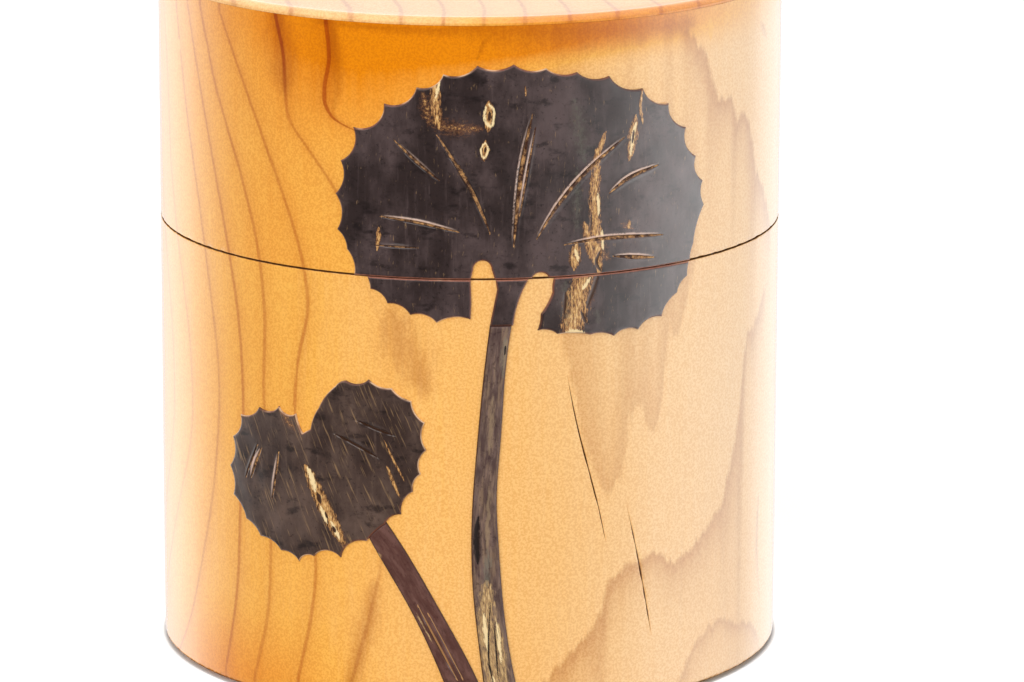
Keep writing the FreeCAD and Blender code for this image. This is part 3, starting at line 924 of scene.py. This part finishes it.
smallLeaf = {
    "pitch": 0.2, "seed": seedOf["smallLeaf"], "seam": None,
    "veins": [
        vein([(-27.8, 32.4), (-28.9, 30.2), (-29.7, 28.1)], 0.24),
        vein([(-28.4, 32.8), (-30.0, 29.4), (-30.6, 27.9)], 0.12, 0.1, 0.3),
        vein([(-25.0, 32.4), (-25.6, 29.0), (-26.1, 26.0)], 0.2),
        vein([(-13.9, 37.8), (-11.5, 37.0), (-9.1, 36.2)], 0.22, 0.26, 0),
        vein([(-17.0, 35.8), (-14.0, 34.7), (-11.1, 33.2)], 0.22, 0.26, 0),
    ],
    "creams": [([(-20.7, 30.9), (-20.0, 29.4), (-19.6, 28.0)], 0.5, 0.3),
               ([(-18.9, 26.2), (-17.9, 24.0)], 0.34, 0.4),
               ([(-17.4, 24.4), (-16.2, 22.2)], 0.36, 0.4)],
    "scars": [([(-20.9, 31.0), (-19.6, 28.4), (-17.4, 24.6), (-15.8, 21.9)], 1.1, 0.35),
              ([(-10.0, 32.3), (-9.2, 30.2), (-8.3, 28.3)], 0.25, 0.4),
              ([(-10.4, 35.6), (-8.9, 32.6), (-7.6, 30.2)], 0.16, 0.4)],
    "cores": [([(-19.3, 27.8), (-18.9, 26.6)], 0.42, 0.3), ([(-18.25, 25.5), (-17.9, 24.7)], 0.27, 0.4),
              ([(-17.2, 23.8), (-16.8, 23.0)], 0.3, 0.4),
              ([(-13.9, 37.8), (-11.5, 37.0), (-9.1, 36.2)], 0.26, 0.5),
              ([(-17.0, 35.8), (-14.0, 34.7), (-11.1, 33.2)], 0.26, 0.5)],
    "blotches": [([(-17.0, 24.0), (-15.0, 20.6)], 1.0, 0.4), ([(-24.6, 37.4), (-22.6, 35.6)], 0.8, 0.4)],
    "moss": [],
}
largeStalk = {
    "pitch": 0.16, "seed": seedOf["stalk"], "seam": None, "veins": [],
    "creams": [([(2.1, 13.6), (2.3, 11.0), (2.6, 8.6)], 0.34, 0.4), ([(3.7, 12.4), (4.3, 7.0)], 0.26, 0.4),
               ([(3.2, 5.4), (3.8, 2.6)], 0.3, 0.4)],
    "line": [(4.15, 50.4), (3.3, 43.4), (2.75, 36.0), (2.15, 27.0), (2.4, 19.0), (3.0, 11.7), (4.75, 1.0)],
    "length": 50.0,
    "scars": [([(2.4, 17.6), (2.6, 15.2)], 0.9, 0.3), ([(2.5, 16.0), (2.4, 11.0), (3.2, 6.0), (4.2, 1.2)],
                                                       1.7, 0.15),
              ([(3.8, 12.0), (4.4, 7.0), (5.2, 1.6)], 0.8, 0.3)],
    "cores": [([(4.7, 48.0), (4.6, 46.6)], 0.2, 0.5), ([(1.4, 26.0), (1.2, 23.4), (1.35, 20.0)], 0.62, 0.5),
              ([(2.9, 15.0), (2.7, 8.0), (3.6, 3.0)], 0.16, 0.3), ([(3.4, 12.0), (3.9, 5.0)], 0.14, 0.3)],
    "blotches": [([(4.9, 48.6), (4.5, 44.8)], 0.75, 0.4), ([(3.2, 41.5), (2.7, 34.0)], 0.7, 0.5),
                 ([(2.7, 30.0), (2.5, 22.0)], 0.75, 0.5)],
    "moss": [([(4.7, 49.0), (4.4, 44.0)], 1.0, 0.4), ([(2.6, 22.0), (2.4, 17.0)], 1.0, 0.4)],
}
smallStalk = {
    "pitch": 0.16, "seed": seedOf["stalk"] + 5, "seam": None,
    "veins": [vein([(-6.2, 14.6), (-3.8, 9.9), (-1.1, 4.7)], 0.2, 0.2),
              vein([(-4.9, 13.6), (-2.9, 9.8), (-0.4, 4.8)], 0.12, 0.1)],
    "creams": [],
    "line": [(-12.0, 24.8), (-9.4, 20.9), (-5.4, 14.0), (-2.2, 7.9), (0.65, 1.0)], "length": 27.0,
    "scars": [([(-11.1, 20.9), (-10.8, 20.3)], 0.3, 0.3), ([(-6.4, 13.6), (-4.2, 9.6)], 0.14, 0.4)],
    "cores": [], "blotches": [], "moss": [],
}


def makeStalk(name, ground, light, dark, streak):
    # fibre runs along the stalk: the map is (across, along) in mm
    finish = Finish(name)
    inside, place = finish.inside(), finish.place()
    fibre = finish.grain(place, (3.4, 0.20, 1), 5, 0.62, 0.3)
    cloud = finish.grain(place, (0.9, 0.25, 1), 4, 0.6)
    grain = finish.noise(inside, 2100.0, 3, 0.65)
    base = finish.mix(cloud.soft(0.40, 0.66), rgb(ground), rgb(light))
    base = finish.over(base, fibre.soft(0.44, 0.70) * 0.35, light)
    worn = finish.grain(place, (0.75, 0.13, 1), 5, 0.68)
    base = finish.over(base, (worn * 0.7 + fibre * 0.3).soft(0.46, 0.58) * streak, (0.40, 0.26, 0.14))
    base = finish.over(base, (1 - worn.soft(0.32, 0.44)) * 0.6, dark)
    base = finish.over(base, (1 - grain.soft(0.30, 0.44)) * 0.5, dark)
    ragged = finish.grain(place, (3.2, 0.8, 1), 4, 0.7)
    scarFibre = finish.grain(place, (5.5, 0.9, 1), 4, 0.7)
    gold = finish.ramp(scarFibre, [(0.32, bark["core"]), (0.40, (0.24, 0.15, 0.08)),
                                   (0.54, (0.55, 0.34, 0.14)),
                                   (0.72, bark["cream"])])
    scarMask = (finish.value("scar") + (ragged - 0.5) * 2.2).soft(0.05, 0.7)
    base = finish.mix(scarMask * 0.85, base, gold)
    cream = finish.value("cream") + (scarFibre - 0.5) * 3.0
    base = finish.over(base, cream.soft(0.0, 0.6), bark["cream"])
    moss = (finish.value("moss") + (ragged - 0.5) * 2.6).soft(0.3, 1.1)
    base = finish.over(base, moss * 0.55, (0.17, 0.16, 0.12))
    blotch = (finish.value("blotch") + (ragged - 0.5) * 2.6).soft(0.3, 1.1)
    base = finish.over(base, blotch * 0.62, (0.29, 0.20, 0.115))
    base = finish.over(base, (finish.value("core") + (ragged - 0.5) * 1.8).soft(-0.1, 0.7),
                       (0.016, 0.010, 0.009))
    # the groove floor shows golden cut fibre on one side and painted shade on the other
    groove = finish.mix(finish.value("veinSide").soft(0.2, 0.7), rgb((0.42, 0.22, 0.09)),
                        rgb((0.02, 0.008, 0.006)))
    base = finish.mix(finish.value("veinIn").soft(0.1, 0.4), base, groove)
    base = finish.over(base, 1 - finish.value("border").soft(0.03, 0.22), (0.05, 0.018, 0.012))
    height = fibre * 0.9 + cloud * 0.4 + grain * 0.15 + scarMask * scarFibre * 0.8
    return finish.close({"Base Color": base, "Roughness": 0.45, "Normal": finish.bump(height, 0.05 * mm, 0.6),
                         "Coat Weight": 0.2 + 0.8 * finish.value("border").soft(0.05, 0.3),
                         "Coat Roughness": 0.16,
                         "Coat IOR": 1.5, "Specular IOR Level": 0.1})


def makePlainWood(name, light, dark, gloss, board=False):
    # straight grain along Z, or along Y on a board
    finish = Finish(name)
    inside = finish.inside()
    ringSize, poreSize = ((150, 14, 150), (1500, 120, 1500)) if board else ((95, 95, 9), (1500, 1500, 120))
    rings = finish.grain(inside, ringSize, 4, 0.55, 0.4)
    lines = ((rings * 9.0).math("FRACT") - 0.5).size().soft(0.30, 0.5)
    pores = finish.grain(inside, poreSize, 3, 0.6)
    speckle = finish.noise(inside, 2400.0, 2, 0.6)
    base = finish.mix((lines * 0.55 + (pores - 0.5) * 0.8).held(), rgb(light), rgb(dark))
    base = finish.over(base, (1 - speckle.soft(0.30, 0.46)) * 0.25, dark)
    values = {"Base Color": base, "Roughness": 0.55 - 0.1 * gloss, "Coat Weight": gloss,
              "Coat Roughness": 0.14,
              "Normal": finish.bump(pores * 0.5 + lines * 0.3, 0.03 * mm, 0.5)}
    return finish.close(values)


def makeCherryBark(name, ground, light, dark, gloss):
    # short breathing marks run round the wall, or along X on a flat lining
    finish = Finish(name)
    inside = finish.inside()
    band = finish.grain(inside, (130, 130, 900), 4, 0.6)
    marks = finish.grain(inside, (240, 240, 1700), 2, 0.5)
    cloud = finish.noise(inside, 75.0, 4, 0.6)
    grain = finish.noise(inside, 2000.0, 3, 0.6)
    lenticel = marks.soft(0.66, 0.72) * cloud.soft(0.42, 0.56)
    base = finish.mix(band.soft(0.34, 0.68), rgb(ground), rgb(light))
    base = finish.over(base, cloud.soft(0.5, 0.75) * 0.5, dark)
    base = finish.over(base, lenticel * 0.8, (0.45, 0.30, 0.17))
    base = finish.over(base, (1 - grain.soft(0.3, 0.45)) * 0.4, dark)
    height = band * 0.4 + lenticel * 1.0 + grain * 0.15
    return finish.close({"Base Color": base, "Roughness": 0.45, "Coat Weight": gloss, "Coat Roughness": 0.2,
                         "Normal": finish.bump(height, 0.06 * mm, 0.6)})


view = {"distance": 0.768455, "pitch": 13.943, "side": 0.005518, "height": 0.038589, "roll": 0.191,
        "lens": 207.26}
studio = {"floorRadius": 6.0, "fill": 0.17, "above": 2.2, "level": 0.63, "lamps": 0.86, "floorGlow": 0.42}

# brightness that the lacquer mirrors, by compass angle from the front (-Y), positive towards +X
mirroredLight = [(-180, 1.2), (-160, 2.2), (-140, 3.9), (-127, 4.4), (-110, 2.8), (-97, 1.2), (-84, 0.5),
                 (-60, 0.15),
                 (-30, 0.07), (5, 0.10), (22, 0.3), (37, 0.9), (57, 2.7), (74, 5.6), (94, 6.3), (110, 5.3),
                 (124, 4.2),
                 (138, 4.3), (152, 3.3), (166, 2.1), (180, 1.2)]


def mirrored(finish, direction):
    x, y = finish.part(direction, 0), finish.part(direction, 1)
    share = x.math("ARCTAN2", y * -1.0) / math.tau + 0.5
    peak = max(level for angle, level in mirroredLight)
    stops = [(angle / 360 + 0.5, (level / peak,) * 3) for angle, level in mirroredLight]
    return finish.ramp(share, stops) * (peak * studio["level"])


def makeStage():
    # a wide pale floor; the lacquer looks through it at the light round the horizon
    columns = 96
    angle = np.linspace(0, math.tau, columns, endpoint=False)
    ring = np.stack([np.cos(angle), np.sin(angle), angle * 0], 1) * studio["floorRadius"]
    mesh = bpy.data.meshes.new("floor")
    mesh.from_pydata(np.concatenate([ring, [[0, 0, 0]]]).tolist(), [],
                     [[i, (i + 1) % columns, columns] for i in range(columns)])
    floor = bpy.data.objects.new("floor", mesh)
    bpy.context.scene.collection.objects.link(floor)
    finish = Finish("pale_floor")
    pale = finish.add("ShaderNodeBsdfDiffuse", None, {"Color": rgb((0.64, 0.645, 0.65))})
    clear = finish.add("ShaderNodeBsdfTransparent", None, {"Color": rgb((1.0, 1.0, 1.0))})
    glossy = finish.add("ShaderNodeLightPath", out="Is Glossy Ray")
    straight = finish.add("ShaderNodeLightPath", out="Is Camera Ray")
    reach = finish.add("ShaderNodeVectorMath", {"operation": "LENGTH"}, {0: finish.inside()}, out=1)
    # the glow seen by the camera is cut next to the wall, a painted contact shadow, and raised within about 10
    # mm of it, painted light over the real shadow
    beyond = (reach - outerRadius) / mm
    contactShadeAndLift = (0.04 + 0.96 * beyond.soft(-0.2, 0.7)) * (1 + (beyond / 10).decay())
    lift = finish.add("ShaderNodeEmission", None, {"Color": rgb((1.0, 1.0, 1.0)),
                      "Strength": straight * contactShadeAndLift * studio["floorGlow"]})
    seen = finish.add("ShaderNodeMixShader", None, {0: glossy, 1: pale, 2: clear})
    both = finish.add("ShaderNodeAddShader", None, {0: seen, 1: lift})
    finish.add("ShaderNodeOutputMaterial", None, {"Surface": both})
    mesh.materials.append(finish.material)


def makeWorld():
    world = bpy.data.worlds.new("studio")
    bpy.context.scene.world = world
    finish = Finish("studio", world)
    direction = finish.add("ShaderNodeTexCoord", out="Generated")
    up = finish.part(direction, 2)
    sides = mirrored(finish, direction) * (1 - 0.85 * up.soft(0.02, 0.20))
    seen = sides + up.soft(0.06, 0.30) * studio["above"]
    glossy = finish.add("ShaderNodeLightPath", out="Is Glossy Ray")
    straight = finish.add("ShaderNodeLightPath", out="Is Camera Ray")
    strength = glossy * seen + (1 - glossy) * studio["fill"] + straight * (1 - studio["fill"])
    back = finish.add("ShaderNodeBackground", None, {"Color": rgb((1.0, 0.995, 0.99)), "Strength": strength})
    finish.add("ShaderNodeOutputWorld", None, {"Surface": back})


def makeLamp(name, compass, elevation, share):
    # a wide soft lamp; share is the part of a full white that it gives a face square to it
    lamp = bpy.data.lights.new(name, "SUN")
    lamp.angle, lamp.energy = math.radians(50), share * math.pi * studio["lamps"]
    light = bpy.data.objects.new(name, lamp)
    bpy.context.scene.collection.objects.link(light)
    turn, rise = math.radians(compass), math.radians(elevation)
    place = Vector((math.sin(turn) * math.cos(rise), -math.cos(turn) * math.cos(rise), math.sin(rise)))
    light.location = place
    light.rotation_euler = place.to_track_quat("Z", "Y").to_euler()
    light.visible_glossy = False


def makeCamera():
    camera = bpy.data.objects.new("camera", bpy.data.cameras.new("camera"))
    bpy.context.scene.collection.objects.link(camera)
    camera.data.lens, camera.data.sensor_width = view["lens"], 36
    camera.data.clip_start, camera.data.clip_end = 0.01, 20
    tilt = math.radians(view["pitch"])
    roll = Matrix.Rotation(math.radians(view["roll"]), 4, "Z")
    turn = Matrix.Rotation(math.radians(90) - tilt, 4, "X") @ roll
    back = Vector((0, -math.cos(tilt), math.sin(tilt))) * view["distance"]
    camera.matrix_world = Matrix.Translation(Vector((view["side"], 0, view["height"])) + back) @ turn
    bpy.context.scene.camera = camera


print("stage, light and camera")
makeStage()
makeWorld()
for lampName, compass, elevation, share in (("lamp_left", -36, 26, 0.58), ("lamp_front", 5, 24, 0.31),
                                            ("lamp_right", 55, 24, 0.18), ("lamp_back_right", 150, 26, 0.24),
                                            ("lamp_back_left", -150, 26, 0.24), ("lamp_above", 0, 88, 0.46)):
    makeLamp(lampName, compass, elevation, share)
makeCamera()
bpy.context.scene.view_settings.view_transform = "Standard"

print("walls")
lacqueredWood = makeLacqueredWood("lacquered_wood")
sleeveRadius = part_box("inner_sleeve")[1].x
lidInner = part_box("lid_core_board")[1].x
wallPiece("body_shell", "body", [(outerRadius, wallLow.z, 0.55 * mm), (outerRadius, wallHigh.z, 0.15 * mm),
                                 (sleeveRadius, wallHigh.z, 0), (sleeveRadius, wallLow.z, 0)],
          lacqueredWood, [wallLow.z, wallHigh.z], True)
wallPiece("lid_shell", "lid", [(outerRadius, lidLow.z, 0.15 * mm), (outerRadius, lidHigh.z, 0),
                               (lidInner, lidHigh.z, 0), (lidInner, lidLow.z, 0)],
          lacqueredWood, [lidLow.z])
topBoardPiece("lid_top_board", lacqueredWood, 0.85 * mm)

print("leaves and stalks")
leafBark = makeBark("leaf_bark", bark["ground"], bark["light"], 0.55, 0.05, 1.4, 0.61, (0.26, 0.115, 0.045))
smallBark = makeBark("small_leaf_bark", (0.040, 0.0230, 0.0185), (0.112, 0.070, 0.054), 0.6, -0.42, 5.5,
                     0.545,
                     (0.30, 0.14, 0.05))
greyStalk = makeStalk("grey_stalk_bark", (0.080, 0.046, 0.040), (0.165, 0.105, 0.085), (0.034, 0.018, 0.016),
                      0.3)
redStalk = makeStalk("red_stalk_bark", (0.086, 0.034, 0.026), (0.150, 0.070, 0.056), (0.045, 0.017, 0.013),
                     0.0)
barkPiece("large_leaf_upper", "lid", leafBark, largeLeaf)
for lobe in ("large_leaf_lower_left", "large_leaf_lower_right", "large_leaf_neck"):
    barkPiece(lobe, "body", leafBark, lobeLook)
barkPiece("small_leaf", "body", smallBark, smallLeaf)
barkPiece("large_leaf_stalk", "body", greyStalk, largeStalk)
barkPiece("small_leaf_stalk", "body", redStalk, smallStalk)

print("inside")
plainWall = makePlainWood("sleeve_wood", (0.72, 0.42, 0.16), (0.46, 0.21, 0.07), 0.7)
plainBoard = makePlainWood("board_wood", (0.74, 0.50, 0.25), (0.50, 0.28, 0.12), 0.0, True)
innerBoard = makePlainWood("inner_lid_wood", (0.74, 0.44, 0.17), (0.47, 0.22, 0.07), 0.8, True)
lining = makeCherryBark("bark_lining", (0.16, 0.065, 0.035), (0.27, 0.125, 0.070), (0.085, 0.032, 0.020),
                        0.35)
knobBark = makeCherryBark("polished_bark", (0.050, 0.016, 0.010), (0.115, 0.040, 0.022),
                          (0.020, 0.008, 0.006), 1.0)


def tubeCorners(nodeName, innerRadius, topRound, lowRound):
    low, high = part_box(nodeName)
    return [(high.x, low.z, lowRound), (high.x, high.z, topRound),
            (innerRadius, high.z, 0.1 * mm), (innerRadius, low.z, 0)]


def discCorners(nodeName, topRound, lowRound):
    low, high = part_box(nodeName)
    return [(0, low.z, 0), (high.x, low.z, lowRound), (high.x, high.z, topRound), (0, high.z, 0)]


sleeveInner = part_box("floor_lining")[1].x
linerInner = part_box("lid_ceiling_lining")[1].x
liningInner = sleeveInner - (barkRadius - outerRadius)
# node, body, material slot, material, and for a tube its inner radius, then the rounding above and below
for nodeName, bodyName, slotName, material, inner, above, below in (
        ("inner_sleeve", "body", "lacquered_wood", plainWall, sleeveInner, 0.15 * mm, 0.0),
        ("sleeve_lining", "body", "bark_lining", lining, liningInner, 0.05 * mm, 0.0),
        ("floor_lining", "body", "bark_lining", lining, None, 0.0, 0.0),
        ("base_face_board", "body", "plain_wood", plainBoard, None, 0.0, 0.0),
        ("lid_liner_ring", "lid", "lacquered_wood", plainWall, linerInner, 0.0, 0.15 * mm),
        ("lid_ceiling_lining", "lid", "bark_lining", lining, None, 0.0, 0.0),
        ("inner_lid_board", "inner_lid", "lacquered_wood", innerBoard, None, 0.0, 0.15 * mm),
        ("inner_lid_plug", "inner_lid", "lacquered_wood", plainWall, None, 0.0, 0.15 * mm),
        ("inner_lid_facing", "inner_lid", "bark_lining", lining, None, 0.08 * mm, 0.0),
        ("inner_lid_underfacing", "inner_lid", "bark_lining", lining, None, 0.0, 0.08 * mm)):
    if inner is None:
        corners = discCorners(nodeName, above, below)
    else:
        corners = tubeCorners(nodeName, inner, above, below)
    turnedPiece(nodeName, bodyName, material, corners, inner is not None)

knob = {"stem": 0.6, "lip": 0.2 * mm, "hollow": 3.1 * mm, "rim": 1.9 * mm, "bulge": 0.35 * mm,
        "crown": 1.0 * mm}


def knobCorners():
    # stem, hollow under the cap, full rim and a low crown (a cap of a sphere)
    low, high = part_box("knob")
    cap = high.x
    stem = cap * knob["stem"]
    edge = cap - knob["bulge"]
    t = np.linspace(0, 1, 12)
    quarter, half = t * math.pi / 2, t * math.pi
    hollow = np.stack([stem + (cap - knob["lip"] - stem) * (1 - np.cos(quarter)),
                       low.z + knob["hollow"] * np.sin(quarter) ** 0.8], 1)
    rim = np.stack([edge + knob["bulge"] * np.sin(half), low.z + knob["hollow"] + knob["rim"] * t], 1)
    crownRadius = edge * (1 - t[1:-1])
    crown = np.stack([crownRadius, high.z - knob["crown"] * (crownRadius / edge) ** 2], 1)
    chain = np.concatenate([hollow, rim[1:], crown])
    return [(0, low.z, 0)] + [(r, z, 0) for r, z in chain.tolist()] + [(0, high.z, 0)]


turnedPiece("knob", "inner_lid", knobBark, knobCorners(), False, 192, 0.6 * mm)

# boards that stay as the CAD holds them: they show only at their rims
for nodeName in ("base_core_board", "lid_core_board", "knob_peg"):
    nodes[nodeName].data.materials.clear()
    nodes[nodeName].data.materials.append(plainBoard)
